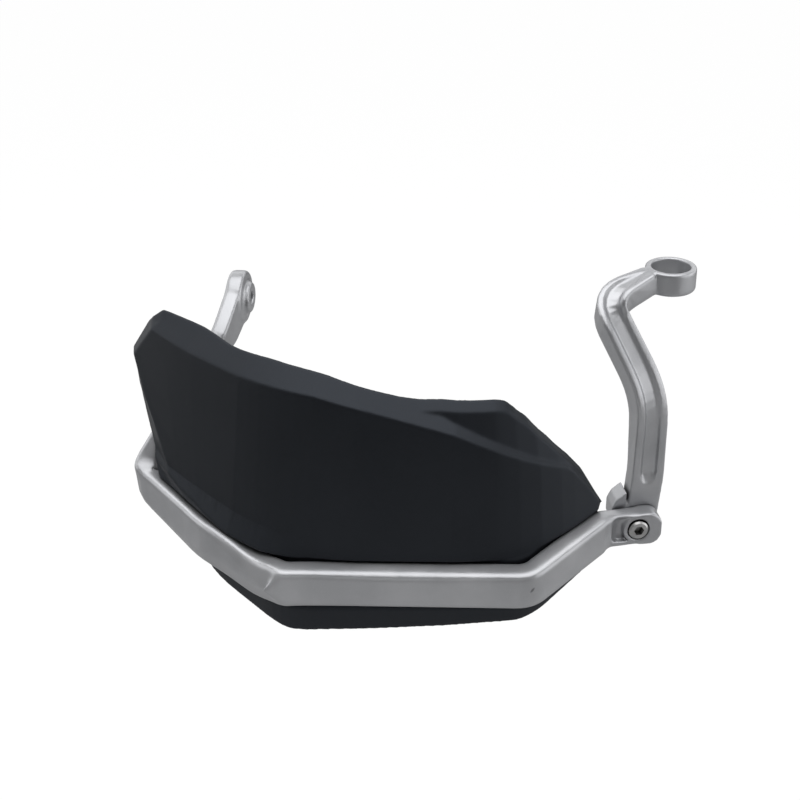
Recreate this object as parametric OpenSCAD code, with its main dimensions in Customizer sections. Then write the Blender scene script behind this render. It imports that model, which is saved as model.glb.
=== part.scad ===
// Right-hand motorcycle hand guard: cast guard bar, moulded shield, cast mount arm and fasteners
// Origin: centre of the bar-end eye, on the face that seats against the handlebar's end
// +X runs inboard along the handlebar, +Y back to the rider, +Z up

/* [Bar-end eye] */
// Outside diameter of the eye
eye_d = 28.5; // [25:0.5:32]
// Thickness of the eye
eye_t = 9; // [7:0.5:11]
// Diameter of the spigot that enters the handlebar
spigot_d = 16.5; // [13:0.5:19]
// Height of the spigot above the seat face
spigot_h = 3; // [1.5:0.5:6]
// Diameter of the bolt hole through eye and spigot
eye_hole_d = 6.5; // [5:0.1:8.5]

/* [Guard bar] */
// How far the middle of the bar's front stretch lies ahead of the handlebar
bar_reach = 119; // [105:1:135]
// How far the middle of the bar's front stretch lies below the handlebar
bar_drop = 99; // [90:1:110]
// Distance from the handlebar's end inboard to the front-left corner
left_corner_x = 44; // [38:1:52]
// Distance from the handlebar's end inboard to the front-right corner
right_corner_x = 164.5; // [157:0.5:172]
// How far the bar stands outboard of the handlebar's end
outboard = 47; // [44:1:55]
// Depth of the bar's section, front to back
bar_depth = 12.3; // [10:0.1:15]
// Height of the bar's section
bar_height = 19.3; // [16.5:0.1:22]
// Radius of the bar's section corners
bar_edge_r = 2.2; // [1:0.1:4]

/* [Lug] */
// Distance from the handlebar's end inboard to the lug bolt
lug_x = 214; // [208:1:222]
// How far the lug bolt lies ahead of the handlebar
lug_reach = 66; // [60:1:74]
// How far the lug bolt lies below the handlebar
lug_drop = 81; // [76:1:86]
// Angle of the lug's face, turned inboard from straight ahead
lug_turn = 18; // [10:1:26]
// Thickness of the lug
lug_t = 10; // [8:0.5:12]
// Length of the lug beyond its bolt
lug_end = 12; // [10:0.5:15]
// Depth of the pocket round the bolt boss
pocket_depth = 1.8; // [0.8:0.1:3]
// Diameter of the bolt boss in the pocket
boss_d = 15.2; // [14:0.1:17]

/* [Mount arm] */
// Height of the ring's middle above the handlebar
ring_z = 38.5; // [32:0.5:46]
// How far the ring lies ahead of the handlebar
ring_reach = 28; // [24:1:34]
// Distance from the handlebar's end inboard to the ring
ring_x = 221.4; // [215:1:228]
// Bore of the ring
ring_bore_d = 19.2; // [17:0.1:20]
// Outside diameter of the ring
ring_d = 25.2; // [24:0.1:30]
// Height of the ring
ring_h = 12; // [10:0.5:16]
// Width of the arm across its channelled face
arm_w = 16.5; // [14:0.5:19]
// Depth of the arm behind its channelled face
arm_d = 12.5; // [10:0.5:15]
// Width of the channel in the arm's face
channel_w = 6.4; // [5:0.2:9]
// Depth of that channel
channel_d = 2; // [0.8:0.1:3]

/* [Shield] */
// Wall of the shield
wall = 3; // [2.4:0.1:4]
// How far the main face stands ahead of the bar's rear face
proud = 4; // [2:0.5:6]
// Backward lean of the main face, as run over rise
lean = 0.13; // [0.06:0.01:0.22]
// Height of the shield's top edge above the top of the bar
shield_top = 96.4; // [86:0.1:106]
// Depth of the strip that shows below the bar
strip_drop = 20; // [14:0.5:26]

/* [Fasteners] */
// Thread diameter of the lug bolt
bolt_d = 6; // [5:1:6]
// Thread diameter of the shield screws
screw_d = 6; // [5:1:6]
// Outside diameter of the shield screws' washers
washer_d = 16; // [14:0.5:18]

/* [Hidden] */
$fn = 40;

cast_silver = [0.72, 0.72, 0.74];
moulded_black = [0.07, 0.07, 0.08];
steel = [0.62, 0.62, 0.6];

// Rise of the bar's plane for each millimetre that it runs back
bar_rise = 0.35;
// Sweep back of the front stretch from left to right
front_sweep = 10.3;

// Middle line of the guard bar, from the eye to the lug bolt
left_bend_y = -0.525 * bar_reach;
bow_in = left_corner_x - 51;
bow_y = -0.765 * bar_reach;
lug_run = 17.4;
function bar_z(y) = -bar_drop + bar_rise * (y + bar_reach);
bar_line = [
    [-eye_t / 2, 0, 0],
    [-eye_t / 2 - 2.5, -26, -13],
    [-outboard, left_bend_y, bar_z(left_bend_y) - 1],
    [bow_in, bow_y, bar_z(bow_y) - 2.8],
    [left_corner_x, -bar_reach, -bar_drop - 0.7],
    [right_corner_x, front_sweep - bar_reach, bar_z(front_sweep - bar_reach)],
    [lug_x - lug_run * cos(lug_turn), -lug_reach - lug_run * sin(lug_turn), -lug_drop - 1],
    [lug_x, -lug_reach, -lug_drop]
];
bend_r = [0, 22, 14, 90, 9, 13, 13, 0];

lug_h = bar_height - 1.6;
// Section of the bar along that line: station, depth, height, shift to the rear
bar_sizes = [
    [0, eye_t, eye_d - 3.5, 0], [1, eye_t, bar_height + 0.5, 0], [1.7, eye_t - 0.5, bar_height - 6, -1.1],
    [2.3, bar_depth - 3.6, bar_height, 1.8], [2.7, bar_depth - 3.2, bar_height + 1, 1.6],
    [3.3, bar_depth - 2, bar_height + 1, 1], [4, bar_depth, bar_height + 0.6, 0],
    [5, bar_depth, bar_height, 0], [5.7, bar_depth, bar_height, 0], [6.3, lug_t, lug_h, 0],
    [7, lug_t, lug_h, 0]
];
// Ridge of the outer face: station, height above the bottom edge, bulge, lead along the bar
ridge_sizes = [
    [0, 4, 0, 0], [2.2, 3, 0.3, 0], [3, 5.5, 1, 0], [3.7, 9.4, 2.2, 0],
    [4, 9.8, 2.2, -8], [4.3, 9.8, 0, -2], [7, 9.8, 0, 0]
];

// Vector helpers
function unit(v) = v / norm(v);
function mix(a, b, t) = a + (b - a) * t;
function column(rows, k) = [for (row = rows) [row[0], row[k]]];
function clamp(v, low, high) = max(low, min(high, v));
function reversed(list) = [for (k = [len(list) - 1:-1:0]) list[k]];

// Points of one bend: two legs joined by a curve that leaves each leg at the cut
function bend(a, p, b, r, n) =
    let (u = unit(a - p), v = unit(b - p), half = (180 - acos(u * v)) / 2)
    let (cut = min(r * tan(half), 0.49 * min(norm(a - p), norm(b - p))))
    [for (k = [0:n]) let (t = k / n) mix(mix(p + u * cut, p, t), mix(p, p + v * cut, t), t)];

// A bent line as [point, station] pairs, where a corner's station is its number
function bent_line(pts, radii, n) = [
    [pts[0], 0],
    for (i = [1:len(pts) - 2])
        let (arc = bend(pts[i - 1], pts[i], pts[i + 1], radii[i], n))
        for (k = [0:n]) [arc[k], i + (k / n - 0.5) * 0.6],
    [pts[len(pts) - 1], len(pts) - 1]
];
function direction(line, k) =
    unit(line[min(k + 1, len(line) - 1)][0] - line[max(k - 1, 0)][0]);

// A solid from rings of equal length, closed by its two end rings
function quad(a, b, c, d) = [[a, b, c], [a, c, d]];
module skin(rings) {
    m = len(rings[0]);
    last = len(rings) - 1;
    sides = [for (i = [0:last - 1]) for (j = [0:m - 1])
        each quad(i * m + j, (i + 1) * m + j, (i + 1) * m + (j + 1) % m, i * m + (j + 1) % m)];
    start = [[for (j = [0:m - 1]) j]];
    end = [[for (j = [m - 1:-1:0]) last * m + j]];
    polyhedron([for (ring = rings) each ring], concat(sides, start, end));
}

// Section with round corners, anticlockwise from the outer top corner; n points inboard, u up
function corner(cx, cy, r, from) =
    [for (a = [from:30:from + 90]) [cx + r * cos(a), cy + r * sin(a)]];

// Guard bar
function bar_section(size, ridge) =
    let (d = size[0] / 2, h = size[1] / 2, r = bar_edge_r)
    concat(
        [for (p = corner(-d + r, h - r, r, 90)) [p[0], p[1], 0]],
        [[-d - ridge[1], -h + ridge[0], ridge[2]]],
        [for (p = corner(-d + r + 0.5 * ridge[1], -h + r, r, 180)) [p[0], p[1], 0]],
        [for (p = corner(d - r, -h + r, r, 270)) [p[0], p[1], 0]],
        [for (p = corner(d - r, h - r, r, 0)) [p[0], p[1], 0]]);
function bar_ring(p, t, s) =
    let (level = clamp((s - 1.7) / 0.6, 0, 1), plumb = clamp((s - 1.85) / 0.45, 0, 1))
    let (n = unit(mix([1, 0, 0] - t[0] * t, [-t[1], t[0], 0], level)))
    let (u = unit(mix(cross(t, n), [0, 0, 1], plumb)), shift = lookup(s, column(bar_sizes, 3)))
    let (size = [lookup(s, column(bar_sizes, 1)), lookup(s, column(bar_sizes, 2))])
    let (ridge = [for (k = [1:3]) lookup(s, column(ridge_sizes, k))])
    [for (q = bar_section(size, ridge)) p + n * (q[0] + shift) + u * q[1] + t * q[2]];
bar_stations = bent_line(bar_line, bend_r, 6);

// The lug lies square to the bolt axis
module at_lug() {
    translate([lug_x, -lug_reach, -lug_drop])
        rotate([0, 0, lug_turn])
            children();
}
lug_corner_r = 6.5;
module rounded_plate(w, h, r, t) {
    rotate([90, 0, 0])
        translate([0, 0, -t / 2])
            linear_extrude(t) {
                square([w - 2 * r, h], center = true);
                square([w, h - 2 * r], center = true);
                for (x = [-1, 1])
                    for (y = [-1, 1])
                        translate([x * (w / 2 - r), y * (h / 2 - r)])
                            circle(r);
            }
}
module lug_body() {
    back = 4;
    translate([(lug_end - back) / 2, 0, 0])
        rounded_plate(lug_end + back, lug_h, lug_corner_r, lug_t);
}
module lug_pocket() {
    reach_out = 13.5;
    reach_in = 6;
    difference() {
        translate([(reach_in - reach_out) / 2, -lug_t / 2, 0.5])
            rounded_plate(reach_in + reach_out, lug_h - 4, 2.6, 2 * pocket_depth);
        rotate([90, 0, 0])
            cylinder(d = boss_d, h = 2 * lug_t, center = true);
    }
}

// The eye: plate, spigot with a chamfered nose, all on the handlebar's axis
module eye() {
    nose = 0.8;
    rotate([0, 90, 0])
        rotate_extrude()
            polygon([
                [0, -eye_t], [eye_d / 2 - 1.2, -eye_t], [eye_d / 2, -eye_t + 1.2],
                [eye_d / 2, -1.2], [eye_d / 2 - 1.2, 0], [spigot_d / 2 + 1.6, 0],
                [spigot_d / 2, 1.4], [spigot_d / 2, spigot_h - nose],
                [spigot_d / 2 - nose, spigot_h], [0, spigot_h]]);
}

// Screw seats on the bar's rear face: stretch of the bar, fraction along it
screw_seats = [[3, 0.62], [4, 0.2], [4, 0.82], [5, 0.52]];
module at_seat(k) {
    i = screw_seats[k][0];
    p = mix(bar_line[i], bar_line[i + 1], screw_seats[k][1]);
    t = unit(bar_line[i + 1] - bar_line[i]);
    turn = atan2(t[1], t[0]);
    translate(p)
        rotate([0, 0, turn])
            translate([0, bar_depth / 2, 0])
                rotate([-90, 0, 0])
                    children();
}
thread_depth = 9;
module guard_bar() {
    color(cast_silver)
        difference() {
            union() {
                skin([for (k = [0:len(bar_stations) - 1])
                    bar_ring(bar_stations[k][0], direction(bar_stations, k), bar_stations[k][1])]);
                eye();
                at_lug()
                    lug_body();
            }
            rotate([0, 90, 0])
                cylinder(d = eye_hole_d, h = 8 * eye_t, center = true);
            at_lug() {
                lug_pocket();
                rotate([90, 0, 0])
                    cylinder(d = bolt_d + 0.4, h = 3 * lug_t, center = true);
                translate([0, -lug_t / 2, 0])
                    rotate([90, 0, 0])
                        cylinder(d = head_d + 1, h = 2 * head_sink, center = true);
            }
            for (k = [0:3])
                at_seat(k)
                    cylinder(d = screw_d + 0.1, h = 2 * thread_depth, center = true);
        }
}

// Mount arm: middle line from the ring to the foot, with the outward face's direction
foot_gap = lug_t / 2 + arm_d / 2;
foot_x = lug_x - foot_gap * sin(lug_turn);
foot_y = -lug_reach + foot_gap * cos(lug_turn);
ring_middle = [ring_x, -ring_reach, ring_z];
elbow = [ring_x - 31, -ring_reach - 20, ring_z - 8];
// The arm starts inside the ring's wall, clear of the bore
arm_line = [
    ring_middle + (0.28 * ring_bore_d + 0.22 * ring_d) * unit([-31, -20, 0]),
    elbow,
    [lug_x + 1.5, foot_y - 7.5, 3 - ring_z * 0.32],
    [foot_x + 6, foot_y + 6 * tan(lug_turn), 25 - lug_drop],
    [foot_x + 4, foot_y + 4 * tan(lug_turn), -lug_drop]
];
arm_bend_r = [0, 17, 40, 40, 0];
arm_faces = [
    [0, 0, 0, 1], [0.7, 0, -0.1, 1], [1.3, 0.2, -0.5, 0.8], [2, 0.45, -0.78, 0.4],
    [2.7, sin(lug_turn), -cos(lug_turn), 0], [4, sin(lug_turn), -cos(lug_turn), 0]
];
// Width and depth of the arm, a little less where it runs into the ring and the foot
arm_width = [[0, 0.73 * arm_w], [0.7, 0.93 * arm_w], [1.4, 0.94 * arm_w], [2.2, arm_w], [4, arm_w]];
arm_depth = [[0, ring_h - 0.8], [0.7, arm_d - 0.8], [1.3, arm_d], [3.2, arm_d], [4, arm_d - 0.6]];
arm_channel = [[0, 0], [0.6, 0], [0.7, 1], [2.9, 1], [3.2, 0.4], [3.3, 0], [4, 0]];
function arm_section(w, d, c, cd) =
    let (x = w / 2, y = d / 2, r = 2.4, f = 1.2)
    concat(
        [[c / 2 + f, y], [c / 2, y - cd], [-c / 2, y - cd], [-c / 2 - f, y]],
        corner(-x + f, y - f, f, 90), corner(-x + r, -y + r, r, 180),
        corner(x - r, -y + r, r, 270), corner(x - f, y - f, f, 0));
function arm_ring(p, t, s) =
    let (g0 = [for (k = [1:3]) lookup(s, column(arm_faces, k))])
    let (g = unit(g0 - t * (g0 * t)), l = cross(t, g), deep = lookup(s, arm_channel))
    let (wide = lookup(s, arm_width), thick = lookup(s, arm_depth))
    [for (q = reversed(arm_section(wide, thick, channel_w * (0.25 + 0.75 * deep), channel_d * deep)))
        p + l * q[0] + g * q[1]];
arm_stations = bent_line(arm_line, arm_bend_r, 7);

// The foot's round end, flat against the back of the lug
module at_foot() {
    translate([foot_x, foot_y, -lug_drop])
        rotate([0, 0, lug_turn])
            children();
}
module stop_tab() {
    rotate([90, 0, 0])
        translate([0, 0, -arm_d / 2])
            linear_extrude(arm_d - 0.6)
                polygon([[-4, 0], [-11.2, 0], [-11.2, 7.5], [-9, 12], [-4, 16]]);
}
module mount_arm() {
    color(cast_silver)
        difference() {
            union() {
                skin([for (k = [0:len(arm_stations) - 1])
                    arm_ring(arm_stations[k][0], direction(arm_stations, k), arm_stations[k][1])]);
                translate(ring_middle)
                    rotate_extrude()
                        polygon([
                            [0, -ring_h / 2], [ring_d / 2 - 1, -ring_h / 2],
                            [ring_d / 2, -ring_h / 2 + 1], [ring_d / 2, ring_h / 2 - 0.8],
                            [ring_d / 2 - 0.8, ring_h / 2], [0, ring_h / 2]]);
                at_foot() {
                    rotate([90, 0, 0])
                        cylinder(d = arm_w + 0.8, h = arm_d, center = true);
                    stop_tab();
                }
            }
            translate(ring_middle)
                cylinder(d = ring_bore_d, h = 3 * ring_h, center = true);
            at_foot()
                rotate([90, 0, 0])
                    cylinder(d = bolt_d + 0.4, h = 3 * arm_d, center = true);
        }
}

// Lug bolt, washer and lock nut; the bolt's head sinks into the boss
head_d = 5 / 3 * bolt_d;
head_h = bolt_d;
head_sink = 5.2;
bolt_washer_t = 1.6;
bolt_nut_h = bolt_d;
module at_bolt_face() {
    at_lug()
        translate([0, -lug_t / 2 + head_sink, 0])
            rotate([-90, 0, 0])
                children();
}
grip = lug_t - head_sink + arm_d;
module lug_bolt() {
    color(steel)
        at_bolt_face()
            difference() {
                union() {
                    rotate_extrude()
                        polygon([
                            [0, -head_h], [head_d / 2 - 0.8, -head_h],
                            [head_d / 2, -head_h + 0.8], [head_d / 2, 0], [0, 0]]);
                    cylinder(d = bolt_d, h = grip + bolt_washer_t + bolt_nut_h + 1.5);
                }
                translate([0, 0, -head_h - 1])
                    cylinder(d = 0.866 * bolt_d, h = 1 + 0.55 * head_h, $fn = 6);
            }
}
module lug_washer() {
    color(steel)
        at_bolt_face()
            translate([0, 0, grip])
                difference() {
                    cylinder(d = 2 * bolt_d, h = bolt_washer_t);
                    cylinder(d = bolt_d + 0.4, h = 4 * bolt_washer_t, center = true);
                }
}
module lug_nut() {
    color(steel)
        at_bolt_face()
            translate([0, 0, grip + bolt_washer_t])
                difference() {
                    cylinder(d = 1.876 * bolt_d, h = bolt_nut_h, $fn = 6);
                    cylinder(d = bolt_d + 0.1, h = 4 * bolt_nut_h, center = true);
                }
}

// Shield: a wall lofted along the bar's rear face
// Rear line of the bar in plan, carried straight on past both ends of the shield
function plan_normal(i) =
    let (t = bar_line[i + 1] - bar_line[i], v = [-t[1], t[0]])
    v / norm(v);
function rear_corner(i) =
    let (a = plan_normal(i - 1), b = plan_normal(i))
    [bar_line[i][0], bar_line[i][1]] + (a + b) * bar_depth / 2 / (1 + a * b);
rear_bow = rear_corner(3);
rear_left = rear_corner(4);
rear_right = rear_corner(5);
along_left = unit(rear_bow - rear_left);
along_bow = [-plan_normal(2)[1], plan_normal(2)[0]];
along_right = [plan_normal(5)[1], -plan_normal(5)[0]];
bow_s = -norm(rear_bow - rear_left);
right_s = norm(rear_right - rear_left);
plan_reach = 120;
plan_line = [
    [bow_s - plan_reach, rear_bow + along_bow * plan_reach], [bow_s, rear_bow],
    [0, rear_left], [right_s, rear_right], [right_s + plan_reach, rear_right + along_right * plan_reach]
];
function sharp_plan(s) =
    [for (k = [0:1]) lookup(s, [for (row = plan_line) [row[0], row[1][k]]])];
function plan_sum(s, w, k) =
    k < -3 ? [0, 0] : sharp_plan(s + k * w / 3) + plan_sum(s, w, k - 1);
function plan(s, w) = plan_sum(s, w, 3) / 7;
// Half width of that line's soft corners: against the bar, and in the main face
hug = 12;
sweep = 34;

// Top of the bar above that line
left_rise_s = bow_s - 49.6;
bar_top_line = [
    [left_rise_s, bar_line[2][2]], [bow_s, bar_line[3][2]], [0, bar_line[4][2]],
    [right_s, bar_line[5][2]], [right_s + 49, bar_line[6][2]]
];
function bar_top(s) = lookup(s, bar_top_line) + bar_height / 2;

// Outline of the shield over the top of the bar's front stretch: distance along it, height
datum = bar_height / 2 - bar_drop;
top_edge = [
    [-100, 1.06], [-85, 1.056], [-66, 1.038], [-45, 1.003], [-20, 1], [3, 0.984], [14, 0.974],
    [26, 0.947], [42, 0.909], [61, 0.867], [80, 0.867], [104, 0.862], [108, 0.86], [112, 0.85],
    [123, 0.777], [139, 0.623], [150, 0.512], [157, 0.43], [163, 0.318], [167, 0.2]
];
crease_edge = [
    [-100, 0.985], [-92, 0.975], [-70, 0.937], [-39, 0.911], [12, 0.884], [38, 0.834],
    [81, 0.725], [121, 0.566], [146, 0.48], [156, 0.36], [167, 0.18]
];
// Foot of the upper bevel where the set-back facet begins
step_start = 75;
step_edge = [[75, 0.8], [121, 0.59], [146, 0.49], [156, 0.37], [167, 0.19]];
// How far the strip below the bar hangs down, as a fraction of its depth
strip_edge = [
    [-100, 0.36], [-86, 0.42], [-64, 0.61], [-46, 0.75], [-19, 0.96], [-2, 1.09], [16, 1.03],
    [39, 0.99], [79, 0.85], [104, 0.71], [127, 0.68], [161, 0.5], [167, 0.46]
];
// Left outline: height over the datum, shift along the shield
left_edge = [
    [-30, 21], [5, 21], [13, 16.5], [18, 10.5], [23, 6.5], [41, -2.6], [54, -8.8], [68, -15], [77, -17.6],
    [84, -14.5], [96, -4.5], [102, 1.5], [104, 10]
];
// Width of the rim strip inside that outline
left_rim = [[-8, 8], [13, 8], [18, 11], [24, 15], [42, 11], [59, 7], [77, 4.5], [90, 8], [103, 8]];
left_end = -100;
right_end = 167;
left_fade = -35;
function lead(s, z) =
    let (w = clamp((left_fade - s) / (left_fade - left_end), 0, 1))
    pow(w, 1.4) * lookup(z - datum, left_edge);
function edge_z(table, s) = datum + shield_top * lookup(s, table);

// One point of the shield: distance along, distance behind the bar's rear face, height
function shield_point(s, n, z, w, rim = false) =
    let (edge_s = left_end + lead(left_end, z) + lookup(z - datum, left_rim))
    let (q = rim ? edge_s : s + lead(s, z), p = plan(q, w), t = unit(plan(q + 2, w) - plan(q - 2, w)))
    [p[0] - t[1] * n, p[1] + t[0] * n, z];

// Where the strip below the bar comes forward under it, from 0 to 1
strip_ahead = [[-75, -0.1], [-45, 1]];
// Rise of the rim band along the bar
rim_rise = [[-100, 6.5], [-62, 5.5], [-35, 1.8], [140, 1.8], [167, 1]];
// Profile across the shield's outer face from the strip below the bar up to the top edge
bevel_run = 1.1;
facet_lean = 0.32;
function profile(s, back) =
    let (foot = bar_top(s) - bar_height, top = bar_top(s) + 0.4)
    let (hang = strip_drop * lookup(s, strip_edge), ahead = lookup(s, strip_ahead))
    let (rim_top = top + lookup(s, rim_rise), zt = max(edge_z(top_edge, s), rim_top + 2.4))
    let (zc = clamp(edge_z(crease_edge, s), rim_top + 1, zt - 1.6))
    let (zf = s < step_start ? zt - 5 : clamp(edge_z(step_edge, s), zc + 0.3, zt - 1))
    let (zd = max(zt - 4.5, zf + 0.3))
    let (nc = -proud + lean * (zc - rim_top), nf = nc + bevel_run * (zf - zc))
    let (nd = nf + (s < step_start ? bevel_run : facet_lean) * (zd - zf))
    [
        [-2.5 * ahead + back * 0.3, foot - hang],
        [-3.5 * ahead + back * 0.3, foot - hang * 0.35],
        [0, foot - 1.5],
        [0, top],
        [back - proud, rim_top],
        for (t = [0.25:0.25:1]) [back + mix(-proud, nc, t), mix(rim_top, zc, t)],
        [back * 0.6 + nf, zf],
        [back * 0.3 + nd, zd],
        [nd + bevel_run * (zt - zd), zt]
    ];
hug_rows = 4;
// Columns of the loft: distance along, how far the outline's edge is set back, rim strip or not
columns = [
    [left_end, 4, false], [left_end + 10, 0, true],
    for (s = [left_end + 24:7:-20]) [s, 0, false],
    for (s = [-14:5:16]) [s, 0, false],
    for (s = [24:10:64]) [s, 0, false],
    [step_start, 0, false],
    for (s = [82:8:98]) [s, 0, false],
    [104, 0, false],
    for (s = [108:4:150]) [s, 0, false],
    [157, 0, false], [right_end - 4, 0, false], [right_end, 3, false]
];
// Square to the profile at row k, pointing to the inside of the wall
function square_off(rows, k) =
    let (a = rows[max(k - 1, 0)], b = rows[min(k + 1, len(rows) - 1)], t = unit(b - a))
    [t[1], -t[0]];
function side_points(c, thick) =
    let (rows = profile(c[0], c[1]))
    [for (k = [0:len(rows) - 1])
        let (p = rows[k] + thick * square_off(rows, k))
        shield_point(c[0], p[0], p[1], k < hug_rows ? hug : sweep, c[2])];
module shell(cols, near, far) {
    rings = [for (c = cols) concat(side_points(c, far), reversed(side_points(c, near)))];
    m = len(rings[0]);
    half = m / 2;
    last = len(rings) - 1;
    sides = [for (i = [0:last - 1]) for (j = [0:m - 1])
        each quad(i * m + j, (i + 1) * m + j, (i + 1) * m + (j + 1) % m, i * m + (j + 1) % m)];
    ends = [for (j = [0:half - 2]) each concat(
        quad(j, j + 1, m - 2 - j, m - 1 - j),
        quad(last * m + m - 1 - j, last * m + m - 2 - j, last * m + j + 1, last * m + j))];
    polyhedron([for (ring = rings) each ring], concat(sides, ends));
}
sleeve_d = screw_d + 3;
module shield() {
    color(moulded_black)
        difference() {
            shell(columns, 0, wall);
            for (k = [0:3])
                at_seat(k)
                    cylinder(d = sleeve_d + 0.4, h = 4 * wall, center = true);
        }
}

// Shield fasteners, put in from behind: spacer in the wall, washer on it, screw into the bar
screw_washer_t = 1.2;
module shield_spacer(k) {
    $fn = 20;
    color(steel)
        at_seat(k)
            difference() {
                cylinder(d = sleeve_d, h = wall);
                cylinder(d = screw_d + 0.4, h = 4 * wall, center = true);
            }
}
module shield_washer(k) {
    $fn = 24;
    color(steel)
        at_seat(k)
            translate([0, 0, wall])
                difference() {
                    cylinder(d = washer_d, h = screw_washer_t);
                    cylinder(d = screw_d + 0.4, h = 4 * screw_washer_t, center = true);
                }
}
module shield_screw(k) {
    head = 0.6 * screw_d;
    $fn = 20;
    color(steel)
        at_seat(k)
            difference() {
                union() {
                    translate([0, 0, -thread_depth + 0.5])
                        cylinder(d = screw_d, h = thread_depth - 0.5 + wall + screw_washer_t);
                    translate([0, 0, wall + screw_washer_t])
                        rotate_extrude()
                            polygon([
                                [0, 0], [0.95 * screw_d, 0], [0.95 * screw_d, 0.35 * head],
                                [0.7 * screw_d, 0.85 * head], [0.5 * screw_d, head], [0, head]]);
                }
                translate([0, 0, wall + screw_washer_t + 0.35 * head])
                    cylinder(d = 0.77 * screw_d, h = head, $fn = 6);
            }
}

guard_bar();
shield();
mount_arm();
lug_bolt();
lug_washer();
lug_nut();
shield_screw(0);  // shield_screw_1
shield_screw(1);  // shield_screw_2
shield_screw(2);  // shield_screw_3
shield_screw(3);  // shield_screw_4
shield_washer(0);  // shield_washer_1
shield_washer(1);  // shield_washer_2
shield_washer(2);  // shield_washer_3
shield_washer(3);  // shield_washer_4
shield_spacer(0);  // shield_spacer_1
shield_spacer(1);  // shield_spacer_2
shield_spacer(2);  // shield_spacer_3
shield_spacer(3);  // shield_spacer_4
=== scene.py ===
# %% [markdown]
# # A motorcycle hand guard, dressed for its picture
#
# The guard is a cast bar that runs from the end of the handlebar, round in front of the
# rider's fingers, to a bolted arm. A moulded shield is screwed to the bar's back.
# The solids arrive as a finished frame, at their real size and in metres.
# What is left for Blender is the look: soft edges of cast and moulded pieces, paint,
# plastic and bare steel, and the light and camera of a product picture.

# %% The frame
import math
import bpy
import numpy as np
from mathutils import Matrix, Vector


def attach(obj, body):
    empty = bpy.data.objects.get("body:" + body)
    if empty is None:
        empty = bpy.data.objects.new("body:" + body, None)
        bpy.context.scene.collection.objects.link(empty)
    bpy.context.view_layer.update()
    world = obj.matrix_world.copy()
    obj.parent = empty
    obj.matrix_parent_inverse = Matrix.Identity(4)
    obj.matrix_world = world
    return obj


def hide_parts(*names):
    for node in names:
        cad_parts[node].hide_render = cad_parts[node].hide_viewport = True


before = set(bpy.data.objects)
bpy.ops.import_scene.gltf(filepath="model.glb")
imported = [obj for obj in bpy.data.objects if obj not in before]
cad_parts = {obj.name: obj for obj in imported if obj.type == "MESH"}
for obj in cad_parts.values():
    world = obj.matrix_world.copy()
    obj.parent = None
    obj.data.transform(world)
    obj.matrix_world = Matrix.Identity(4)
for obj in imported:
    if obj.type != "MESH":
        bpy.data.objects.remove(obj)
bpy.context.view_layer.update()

MM = 0.001
print("solids:", sorted(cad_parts))

# %% [markdown]
# ## Shader maths as plain expressions
#
# A grain or a stain is arithmetic on noise. Drawn node by node it is hard to read,
# so one small class wraps a socket and lets Python's own operators add the nodes.
# A number goes through a Math node. A colour or a vector goes through a Vector Math
# node, because a Math node would turn it grey.

# %% A socket with operators
FLAT = {"VALUE", "INT", "BOOLEAN"}


class Wire:
    def __init__(self, finish, socket):
        self.finish = finish
        self.socket = socket

    def _op(self, name, first, second):
        flat = all(not isinstance(v, Wire) or v.socket.type in FLAT for v in (first, second))
        kind = "ShaderNodeMath" if flat else "ShaderNodeVectorMath"
        return self.finish.node(kind, {"operation": name}, {0: first, 1: second})

    def __add__(self, other):
        return self._op("ADD", self, other)

    def __radd__(self, other):
        return self._op("ADD", other, self)

    def __sub__(self, other):
        return self._op("SUBTRACT", self, other)

    def __rsub__(self, other):
        return self._op("SUBTRACT", other, self)

    def __mul__(self, other):
        return self._op("MULTIPLY", self, other)

    def __rmul__(self, other):
        return self._op("MULTIPLY", other, self)

    def __getitem__(self, name):
        return Wire(self.finish, self.socket.node.outputs[name])


print("sockets now add, subtract and multiply")

# %% [markdown]
# ## A finish under construction
#
# Every finish here is one principled shader with noise in front of it. So a second
# class holds the material and makes its nodes. One method makes any node from its type,
# its settings and the values of its sockets, and a few short methods on top of it say
# what this guard needs: speckle, a smooth step, a blend of two colours, painted shade in
# corners and a bumped surface. The Mix node's colour sockets share their names with its other
# sockets, so they are picked by number.

# %% A finish
MIX_AMOUNT, MIX_ONE, MIX_OTHER, MIX_RESULT = 0, 6, 7, 2


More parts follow.
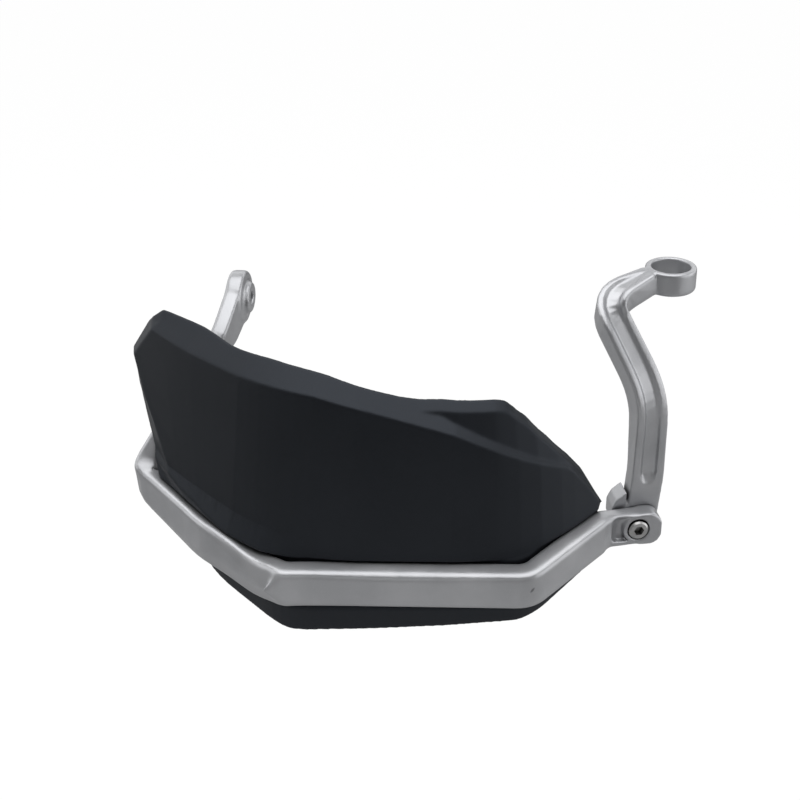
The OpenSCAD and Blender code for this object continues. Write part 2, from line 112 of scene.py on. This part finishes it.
class Finish:
    """One material, with its principled shader ready to be fed."""

    def __init__(self, name):
        self.material = bpy.data.materials.new(name)
        self.material.use_nodes = True
        self.tree = self.material.node_tree
        self.shader = self.tree.nodes["Principled BSDF"]
        self.place = self.node("ShaderNodeTexCoord")["Object"]

    def node(self, kind, settings=None, values=None):
        made = self.tree.nodes.new(kind)
        for key, value in (settings or {}).items():
            setattr(made, key, value)
        for key, value in (values or {}).items():
            self.feed(made.inputs[key], value)
        live = [s for s in made.outputs if s.enabled]
        return Wire(self, live[0])

    def feed(self, socket, value):
        if isinstance(value, Wire):
            self.tree.links.new(value.socket, socket)
        elif socket.type == "RGBA":
            socket.default_value = (*value, 1.0)
        else:
            socket.default_value = value

    def set(self, **sockets):
        for key, value in sockets.items():
            self.feed(self.shader.inputs[key.replace("_", " ")], value)

    def speckle(self, size_mm, detail=2.0, rough=0.5):
        """Noise from 0 to 1, with spots about size_mm across."""
        return self.node("ShaderNodeTexNoise", {"noise_dimensions": "3D"},
                         {"Vector": self.place, "Scale": 1.0 / (size_mm * MM),
                          "Detail": detail, "Roughness": rough})

    def between(self, amount, low, high):
        """A smooth step of amount from low to high."""
        return self.node("ShaderNodeMapRange", {"interpolation_type": "SMOOTHSTEP"},
                         {"Value": amount, "From Min": low, "From Max": high})

    def blend(self, amount, one, other):
        """The first colour where amount is 0, the other where it is 1."""
        made = self.node("ShaderNodeMix", {"data_type": "RGBA"}).socket.node
        self.feed(made.inputs[MIX_AMOUNT], amount)
        self.feed(made.inputs[MIX_ONE], one)
        self.feed(made.inputs[MIX_OTHER], other)
        return Wire(self, made.outputs[MIX_RESULT])

    def corners(self, reach_mm):
        """0 in the open, up to 1 deep in a slot or a recess."""
        around = self.node("ShaderNodeAmbientOcclusion", {"samples": 6}, {"Distance": reach_mm * MM})
        return 1.0 - around["AO"]

    def bumped(self, height, depth_mm, strength):
        return self.node("ShaderNodeBump", None,
                         {"Strength": strength, "Distance": depth_mm * MM, "Height": height})


print("finishes can be mixed")

# %% [markdown]
# ## Silver paint on cast metal
#
# The bar and the arm are cast, blasted and sprayed with satin silver. The paint is a
# grey lacquer with metal flakes in it: it brightens where it faces the light and stays
# soft in its reflections. The casting's skin shows through as a very shallow orange peel.
# So the shader is mostly metal with a wide highlight, and two sizes of noise make the flake
# and the peel. A slow cloud makes the grey uneven by a few hundredths, and painted shade
# darkens the corners: the channel's two feet, the lug's pocket and the slit behind the bar.
#
# The bar's front has met something hard near its right corner: one short slanting nick.
# A nick is where a point lies close to a named spot. A Mapping node of the texture kind
# turns the space round that spot first and stretches it afterwards, so the round patch
# becomes a leaning streak, and the depth hardly counts.

# %% Silver paint
PAINT_DARK = (0.37, 0.375, 0.39)
PAINT_PALE = (0.43, 0.435, 0.45)
PAINT_FLAKE = (0.62, 0.62, 0.63)
NICK_GREY = (0.07, 0.07, 0.075)
PAINT_CORNER_SHADE = (0.05, 0.05, 0.055)
NICK = (166.9 * MM, -113.3 * MM, -94.1 * MM)
NICK_LEAN = math.radians(35.0)
NICK_SIZE = (0.8 * MM, 4.0 * MM, 2.0 * MM)


def nick_mask(f):
    """1 in the middle of the nick, 0 outside it."""
    streak = f.node("ShaderNodeMapping", {"vector_type": "TEXTURE"},
                    {"Vector": f.place, "Location": NICK,
                     "Rotation": (0.0, NICK_LEAN, 0.0), "Scale": NICK_SIZE})
    away = f.node("ShaderNodeVectorMath", {"operation": "LENGTH"}, {0: streak})
    return 1.0 - f.between(away["Value"], 0.4, 1.0)


def silver_paint():
    f = Finish("silver paint")
    flake = f.speckle(0.35, detail=3.0)
    peel = f.speckle(2.2)
    cloud = f.speckle(28.0, detail=3.0)
    nick = nick_mask(f)
    # painted shade: the paint is darker in corners, slots and the slit behind the bar, where shade falls
    corner_shade = f.between(f.corners(4.5), 0.15, 0.75)
    grey = f.blend(f.between(cloud, 0.35, 0.7), PAINT_DARK, PAINT_PALE)
    grey = f.blend(f.between(flake, 0.55, 0.8) * 0.35, grey, PAINT_FLAKE)
    grey = f.blend(nick * 0.65, grey, NICK_GREY)
    grey = f.blend(corner_shade * 0.7, grey, PAINT_CORNER_SHADE)
    height = flake * 0.35 + peel - nick * 4.0
    f.set(Base_Color=grey, Metallic=0.72, Roughness=0.33 + cloud * 0.08,
          Normal=f.bumped(height, 0.05, 0.35))
    return f.material


paint = silver_paint()
print("made", paint.name)

# %% [markdown]
# ## Moulded black plastic
#
# The shield is injection moulded, with a fine spark-eroded grain over the whole skin.
# Grain like this scatters the light, so the black looks like a very dark, slightly blue
# grey where it faces the sky, and nearly black where it faces down.
# Fine noise makes the grain. A slow second noise varies the black and its gloss a little,
# the way handling does. A faintly blue tint on the highlight gives the cold sheen.

# %% Moulded plastic
PLASTIC_BLACK = (0.0030, 0.0034, 0.0042)
PLASTIC_HANDLED = (0.0042, 0.0047, 0.0058)
COLD_SHEEN = (0.78, 0.86, 1.0)


def moulded_plastic():
    f = Finish("moulded plastic")
    grain = f.speckle(0.45, rough=0.6)
    slow = f.speckle(35.0)
    black = f.blend(f.between(slow, 0.3, 0.75), PLASTIC_BLACK, PLASTIC_HANDLED)
    f.set(Base_Color=black, Roughness=0.44 + slow * 0.1, Specular_IOR_Level=0.42,
          Specular_Tint=COLD_SHEEN, Normal=f.bumped(grain, 0.06, 0.5))
    return f.material


plastic = moulded_plastic()
print("made", plastic.name)

# %% [markdown]
# ## Plain steel
#
# The bolt, nut, screws, washers and sleeves are zinc plated steel. They are small, so
# one finish serves them all: full metal, a little dull, with fine streaks left by
# the tools, slightly darker patches in the plating and painted shade in the sockets.

# %% Plated steel
ZINC_DULL = (0.40, 0.40, 0.40)
ZINC_PALE = (0.52, 0.52, 0.51)
SOCKET_SHADE_GREY = (0.03, 0.03, 0.024)


def plated_steel():
    f = Finish("plated steel")
    streaks = f.speckle(0.5, detail=3.0)
    patches = f.speckle(4.0)
    # painted shade: the steel is darker in sockets and recesses, where shade falls
    socket_shade = f.between(f.corners(3.0), 0.2, 0.65)
    tone = f.blend(f.between(patches, 0.35, 0.75), ZINC_DULL, ZINC_PALE)
    tone = f.blend(socket_shade * 0.9, tone, SOCKET_SHADE_GREY)
    f.set(Base_Color=tone, Metallic=1.0, Roughness=0.28 + streaks * 0.12,
          Normal=f.bumped(streaks, 0.02, 0.3))
    return f.material


steel = plated_steel()
print("made", steel.name)

# %% [markdown]
# ## Soft edges for cast and moulded pieces
#
# A casting has no knife edges: sand or steel moulds and the paint round every corner by a
# millimetre or so. Bevelling a cut and joined solid edge by edge is fragile. A remesh
# into small even squares, followed by rounds of smoothing, wears all its edges evenly
# instead, which is just what blasting and paint do. The squares are smaller than the
# wear, so no stair steps are left along a slanting edge. A worn piece may then be pushed
# a little, and last, flat stretches give up the squares that they don't need, down to a
# budget of triangles.

# %% A softened copy of a solid
BUDGET = 180000


def smoothed(piece, rounds, group=""):
    wear = piece.modifiers.new("wear", "SMOOTH")
    wear.factor = 0.5
    wear.iterations = rounds
    wear.vertex_group = group


def bake(piece):
    """Turn the piece's modifiers into plain mesh."""
    graph = bpy.context.evaluated_depsgraph_get()
    mesh = bpy.data.meshes.new_from_object(piece.evaluated_get(graph))
    piece.modifiers.clear()
    piece.data = mesh


def softened(node, name, square_mm, rounds, finish, push=None):
    piece = bpy.data.objects.new(name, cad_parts[node].data.copy())
    bpy.context.scene.collection.objects.link(piece)
    remesh = piece.modifiers.new("squares", "REMESH")
    remesh.mode = "VOXEL"
    remesh.voxel_size = square_mm * MM
    smoothed(piece, rounds)
    bake(piece)
    if push:
        push(piece)
    triangles = 2 * len(piece.data.polygons)
    if triangles > BUDGET:
        thin = piece.modifiers.new("budget", "DECIMATE")
        thin.ratio = BUDGET / triangles
        bake(piece)
    piece.data.materials.clear()
    piece.data.materials.append(finish)
    for face in piece.data.polygons:
        face.use_smooth = True
        face.material_index = 0
    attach(piece, "root")
    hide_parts(node)
    print(f"{name}: {triangles} triangles worn, {min(triangles, BUDGET)} kept")
    return piece


# %% [markdown]
# ## The cast bar
#
# The bar is the coarsest casting here, with a thick coat of paint on it.

# %% Guard bar
bar = softened("guard_bar", "bar_casting", square_mm=0.52, rounds=12, finish=paint)

# %% [markdown]
# ## Pushing the bar into line
#
# Beside the photograph, the solid bar is a little slim and high where it runs into its
# front-left corner, and its left bend is too sharp on the inside. Both are smooth
# differences of a few millimetres. Modelling them again would be slow, so the worn mesh is
# pushed by amounts that die away on both sides and leave no edge. Two small functions
# make such amounts: a bell round a middle, and a ramp from 0 to 1. A pair of numbers with
# a name gives a bell's middle and spread, or a ramp's start and run. All lengths in
# these cells are in millimetres.

# %% Bells, ramps and the bar's points
BAR_REACH = 119.0
BAR_DROP = 99.0
BAR_RISE = 0.35
BAR_HALF_HEIGHT = 9.6
FRONT_PART = (60.0, 12.0)


def bell(values, middle, spread):
    return np.exp(-((values - middle) / spread) ** 2)


def ramp(values, start, run):
    """0 up to start, 1 from start + run on, and straight between them."""
    return np.clip((values - start) / run, 0.0, 1.0)


def vertex_table(mesh, what):
    table = np.empty(3 * len(mesh.vertices))
    mesh.vertices.foreach_get(what, table)
    return table.reshape(-1, 3)


def put_back(piece, table):
    piece.data.vertices.foreach_set("co", (table * MM).ravel())
    piece.data.update()


# x, y and z look into the same table, so they follow every push
spots = vertex_table(bar.data, "co") / MM
x, y, z = spots.T
faces_to = vertex_table(bar.data, "normal")
ahead = ramp(-y, *FRONT_PART)
bar_middle = -BAR_DROP + BAR_RISE * (y + BAR_REACH)
print("points on the bar:", len(spots))

# %% Lowered run and filled bend
CORNER_DROP, CORNER_BELL = 2.7, (28.0, 13.0)
EDGE_DROP, EDGE_BELL = 3.2, (0.0, 34.0)
LEFT_BEND = (-40.0, -59.0, -77.0)
BEND_SPREAD = 10.0
BEND_FILL = 7.0

lower_half = ramp(bar_middle - z, 0.0, BAR_HALF_HEIGHT)
drop = ahead * (CORNER_DROP * bell(x, *CORNER_BELL) + EDGE_DROP * bell(x, *EDGE_BELL) * lower_half)
bend = 1.0
for values, middle in zip((x, y, z), LEFT_BEND):
    bend = bend * bell(values, middle, BEND_SPREAD)
swell = BEND_FILL * bend * np.clip(faces_to[:, 0], 0.0, 1.0)
spots[:, 2] -= drop
spots[:, 0] += swell
print("bar lowered by up to", round(float(drop.max()), 1), "mm")
print("bend filled by up to", round(float(swell.max()), 1), "mm")

# %% [markdown]
# ## A deeper pocket
#
# The lug has a shallow pocket round the boss of its bolt. In the picture it is deeper and
# darker. Only the pocket's floor may move, so the points are first measured in the lug's
# own directions: along the lug, forward out of its face, and up. Then each limit of the
# floor is one factor, and their product picks it out.

# %% Lug pocket
LUG_BOLT = np.array([214.0, -66.0, -81.0])
LUG_TURN = math.radians(18.0)
LUG_ALONG = np.array([math.cos(LUG_TURN), math.sin(LUG_TURN), 0.0])
LUG_FORWARD = np.array([math.sin(LUG_TURN), -math.cos(LUG_TURN), 0.0])
POCKET_OUTER, POCKET_INNER, POCKET_HALF = -13.0, 4.0, 6.0
POCKET_LIP = 2.5
BOSS_RADIUS, BOSS_FOOT = 7.6, 0.8
FLOOR_REAR, FLOOR_FRONT, FLOOR_FADE = 2.0, 4.2, 0.5
POCKET_SINK = 1.5

from_bolt = spots - LUG_BOLT
along, forward, above = from_bolt @ LUG_ALONG, from_bolt @ LUG_FORWARD, from_bolt[:, 2]
in_pocket = ramp(along, POCKET_OUTER, POCKET_LIP) * (along < POCKET_INNER) * (np.abs(above) < POCKET_HALF)
off_boss = ramp(np.hypot(along, above), BOSS_RADIUS, BOSS_FOOT)
floor_depth = ramp(-forward, -FLOOR_FRONT, FLOOR_FADE) * (forward > FLOOR_REAR)
sink = POCKET_SINK * in_pocket * off_boss * floor_depth
spots -= sink[:, None] * LUG_FORWARD
print("pocket sunk at", int((sink > 0.5 * POCKET_SINK).sum()), "points")

# %% [markdown]
# ## A rolled top
#
# The top of the bar isn't flat. It is high beside the shield and rolls down to its front
# edge, most of all in the middle of the front stretch. A flat top would mirror the black
# shield, while a rolled one mirrors the sky and shines. The roll needs each point's
# distance from the front face. The face bends in plan, so its line is read from the bar
# itself, at stations two millimetres apart and along the ridge at half height, and the
# distance is corrected for its slant.

# %% Rolled top
STATION_STEP = 2.0
RIDGE_HALF = 1.5
FACING = 0.4
TOP_DEPTH = 11.0
TOP_FACE = (5.5, 3.0)
RUN_LEFT, RUN_RIGHT, RUN_FADE = 10.0, 198.0, 16.0
RISE_BEHIND = 0.9
FALL_AT_ENDS, FALL_MORE, FALL_BELL = 0.3, 1.4, (105.0, 42.0)

stations = np.arange(4.0, 200.0, STATION_STEP)
on_front = (np.abs(z - bar_middle) < RIDGE_HALF) & (faces_to[:, 1] < -FACING) & (ahead > 0.0)
front_line = np.array([y[on_front & (np.abs(x - s) < STATION_STEP)].min() for s in stations])
slant = np.sqrt(1.0 + np.gradient(front_line, stations) ** 2)
inward = (y - np.interp(x, stations, front_line)) / np.interp(x, stations, slant)
to_edge = 1.0 - ramp(inward, 0.0, TOP_DEPTH)
fall = FALL_AT_ENDS + FALL_MORE * bell(x, *FALL_BELL)
roll = RISE_BEHIND * (1.0 - to_edge ** 2) - fall * to_edge ** 3
top_share = ahead * ramp(z - bar_middle, *TOP_FACE)
front_run = ramp(x, RUN_LEFT, RUN_FADE) * ramp(-x, -RUN_RIGHT, RUN_FADE)
spots[:, 2] += roll * top_share * front_run
put_back(bar, spots)
print("top rolled by", round(float(roll.min()), 1), "to", round(float(roll.max()), 1), "mm")

# %% [markdown]
# ## Crowned edges
#
# The bar's upper edges and the outboard side of its eye are rounder than the rest. Those
# points go into a vertex group, and only that group is smoothed for many more rounds.

# %% Crown
CROWN_ROUNDS = 50
CROWN_TOP = (3.0, 3.0)
EYE_REAR = (-32.0, 6.0)
EYE_OUTBOARD = (2.0, 3.0)

bar_top = ahead * ramp(z - bar_middle, *CROWN_TOP)
eye_side = ramp(y, *EYE_REAR) * ramp(-x, *EYE_OUTBOARD)
crown = bar.vertex_groups.new(name="crown")
for index, weight in enumerate(np.maximum(bar_top, eye_side)):
    if weight > 0.01:
        crown.add([index], float(weight), "REPLACE")
smoothed(bar, CROWN_ROUNDS, "crown")
bake(bar)
print("crowned over", CROWN_ROUNDS, "rounds")

# %% [markdown]
# ## The arm
#
# The arm is a finer casting than the bar, with a shallow channel down its face.
# Smaller squares keep the channel's two rims.

# %% Mount arm
softened("mount_arm", "arm_casting", square_mm=0.42, rounds=22, finish=paint)

# %% [markdown]
# ## The shield
#
# The shield's folds are crisp lines with a small radius. Squares of half a millimetre hold
# them, and twenty rounds of smoothing turn the folds into the soft lines of a moulding.
#
# Left of the bar's front-left corner, a band at the foot of the shield leans back more
# than the face above it. It catches the light, and it comes down onto the bar without
# a gap. So this mesh is pushed too, after its smoothing and before it gives up any squares:
# the points just above the bar move forward and down, and the push dies away over about
# ten millimetres, which gives the band its lean.

# %% Shield
BAR_TOP = -89.35
BAR_REAR = 114.0
OUTWARD = np.array([-0.5, -0.86, 0.0])
OUTER_SKIN = (0.0, 0.4)
BAND_FOOT = (-1.5, 2.0)
BAND_HEAD = (1.5, 9.5)
BAND_END = (-56.0, 24.0)
BAND_PUSH = 4.0 * OUTWARD - np.array([0.0, 0.0, 1.3])


def push_foot(piece):
    spots = vertex_table(piece.data, "co") / MM
    x, y, z = spots.T
    over_bar = z - (BAR_TOP + BAR_RISE * (y + BAR_REAR))
    outer_skin = ramp(vertex_table(piece.data, "normal") @ OUTWARD, *OUTER_SKIN)
    band = ramp(over_bar, *BAND_FOOT) * (1.0 - ramp(over_bar, *BAND_HEAD))
    band = band * outer_skin * ramp(-x, *BAND_END)
    spots += band[:, None] * BAND_PUSH
    put_back(piece, spots)
    print("foot pushed at", int((band > 0.5).sum()), "points")


softened("shield", "shield_moulding", square_mm=0.5, rounds=20, finish=plastic,
         push=push_foot)

# %% [markdown]
# ## The fasteners
#
# The fasteners are turned and pressed to exact shapes, and the solids already have them.
# They keep their solids and only take the plated finish.

# %% Fasteners
for name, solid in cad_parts.items():
    if name.startswith(("lug_", "shield_s", "shield_w")):
        solid.data.materials.clear()
        solid.data.materials.append(steel)
        print("plated", name)

# %% [markdown]
# ## The studio
#
# A product picture on white needs a floor that is white to the camera and still takes the
# guard's soft shadow. A white floor would also light the guard from below, and its
# underside is dark in the picture. So the floor is a mid grey, and a white glow covers
# nearly all of it for camera rays alone. It lies well below, because the guard hangs in
# the air when it isn't on a handlebar. The air is white to the camera and dim to
# everything else.

# %% Floor
FLOOR_GREY = (0.35, 0.35, 0.35)
FLOOR_GLOW = 1.05
GLOW_SHARE = 0.94
FLOOR_HALF = 4.0
FLOOR_LEVEL = -0.36


def white_floor():
    f = Finish("studio floor")
    f.set(Base_Color=FLOOR_GREY, Roughness=0.9, Specular_IOR_Level=0.1)
    seen = f.node("ShaderNodeLightPath")["Is Camera Ray"]
    glow = f.node("ShaderNodeEmission", None, {"Color": (1.0, 1.0, 1.0), "Strength": FLOOR_GLOW})
    grey = Wire(f, f.shader.outputs[0])
    both = f.node("ShaderNodeMixShader", None, {0: seen * GLOW_SHARE, 1: grey, 2: glow})
    f.feed(f.tree.nodes["Material Output"].inputs["Surface"], both)
    return f.material


ground = bpy.data.meshes.new("studio_floor")
rim = [(sx * FLOOR_HALF, sy * FLOOR_HALF, FLOOR_LEVEL) for sx, sy in ((-1, -1), (1, -1), (1, 1), (-1, 1))]
ground.from_pydata(rim, [], [(0, 1, 2, 3)])
ground.materials.append(white_floor())
floor = bpy.data.objects.new("studio_floor", ground)
bpy.context.scene.collection.objects.link(floor)
print("floor at", FLOOR_LEVEL, "m")

# %% Air
AIR_LIGHT = 0.14
AIR_WHITE = 1.0

world = bpy.data.worlds.new("studio")
bpy.context.scene.world = world
world.use_nodes = True
air = world.node_tree
glow = air.nodes["Background"]
glow.inputs["Color"].default_value = (1.0, 1.0, 1.0, 1.0)
rays = air.nodes.new("ShaderNodeLightPath")
level = air.nodes.new("ShaderNodeMapRange")
air.links.new(rays.outputs["Is Camera Ray"], level.inputs["Value"])
level.inputs["To Min"].default_value = AIR_LIGHT
level.inputs["To Max"].default_value = AIR_WHITE
air.links.new(level.outputs["Result"], glow.inputs["Strength"])
bpy.context.scene.view_settings.view_transform = "Standard"
print("the air gives", AIR_LIGHT)

# %% [markdown]
# ## Lamps
#
# Satin metal shows its surroundings, so the lamps are placed by what each face mirrors.
# The large box above brightens the tops of the bar, the arm and the ring, and draws the
# pale fold along the shield's upper edge. The box behind gives the flat tops their grey.
# Boxes at the left and right light the two ends. Upright faces mirror the floor in
# front of them, so three washes hang over the floor, point down at it, and brighten
# only the patches that the bar's front, its bend and the arm mirror.

# %% Soft boxes
MIDDLE = (0.09, -0.06, -0.03)
# name, place and aim in metres, width, height, watts
SOFT_BOXES = [
    ("top box", (0.05, -0.25, 0.95), (0.05, -0.26, -0.03), 1.6, 1.5, 18.0),
    ("back box", (0.09, 1.10, 0.60), MIDDLE, 1.8, 0.8, 5.0),
    ("left box", (-0.9, -0.30, 0.30), MIDDLE, 0.6, 0.8, 2.2),
    ("right box", (1.1, -0.30, 0.15), MIDDLE, 1.0, 0.9, 4.0),
    ("front wash", (-0.05, -0.72, -0.02), (-0.05, -0.72, -0.36), 0.8, 0.6, 1.9),
    ("left wash", (-0.7, 0.4, 0.0), (-0.45, 0.4, -0.36), 0.8, 1.0, 3.0),
    ("right wash", (0.95, 0.4, 0.0), (0.7, 0.4, -0.36), 0.8, 1.0, 3.0),
]

for name, place, aim, width, height, watts in SOFT_BOXES:
    lamp = bpy.data.lights.new(name, "AREA")
    lamp.shape = "RECTANGLE"
    lamp.size = width
    lamp.size_y = height
    lamp.energy = watts
    holder = bpy.data.objects.new(name, lamp)
    holder.location = place
    holder.rotation_euler = (Vector(aim) - Vector(place)).to_track_quat("-Z", "Y").to_euler()
    bpy.context.scene.collection.objects.link(holder)
    print(name, watts, "W")

# %% [markdown]
# ## The camera
#
# The picture was taken from in front, a little to the inboard side, and from 27 degrees
# above. A 72 mm lens at 0.8 m gives the same crowding of near and far pieces.

# %% Camera
LENS_MM = 72.0
SENSOR_MM = 36.0
CAMERA_AIM = Vector((92.97, -60.0, -23.77)) * MM
CAMERA_TURN = math.radians(9.5)
CAMERA_RISE = math.radians(27.0)
CAMERA_AWAY = 0.8

lens = bpy.data.cameras.new("camera")
lens.lens = LENS_MM
lens.sensor_width = SENSOR_MM
lens.sensor_fit = "HORIZONTAL"
camera = bpy.data.objects.new("camera", lens)
bpy.context.scene.collection.objects.link(camera)
back = Vector((math.sin(CAMERA_TURN) * math.cos(CAMERA_RISE),
               -math.cos(CAMERA_TURN) * math.cos(CAMERA_RISE),
               math.sin(CAMERA_RISE)))
camera.location = CAMERA_AIM + back * CAMERA_AWAY
camera.rotation_euler = (-back).to_track_quat("-Z", "Y").to_euler()
bpy.context.scene.camera = camera
print("camera at", [round(v, 3) for v in camera.location])
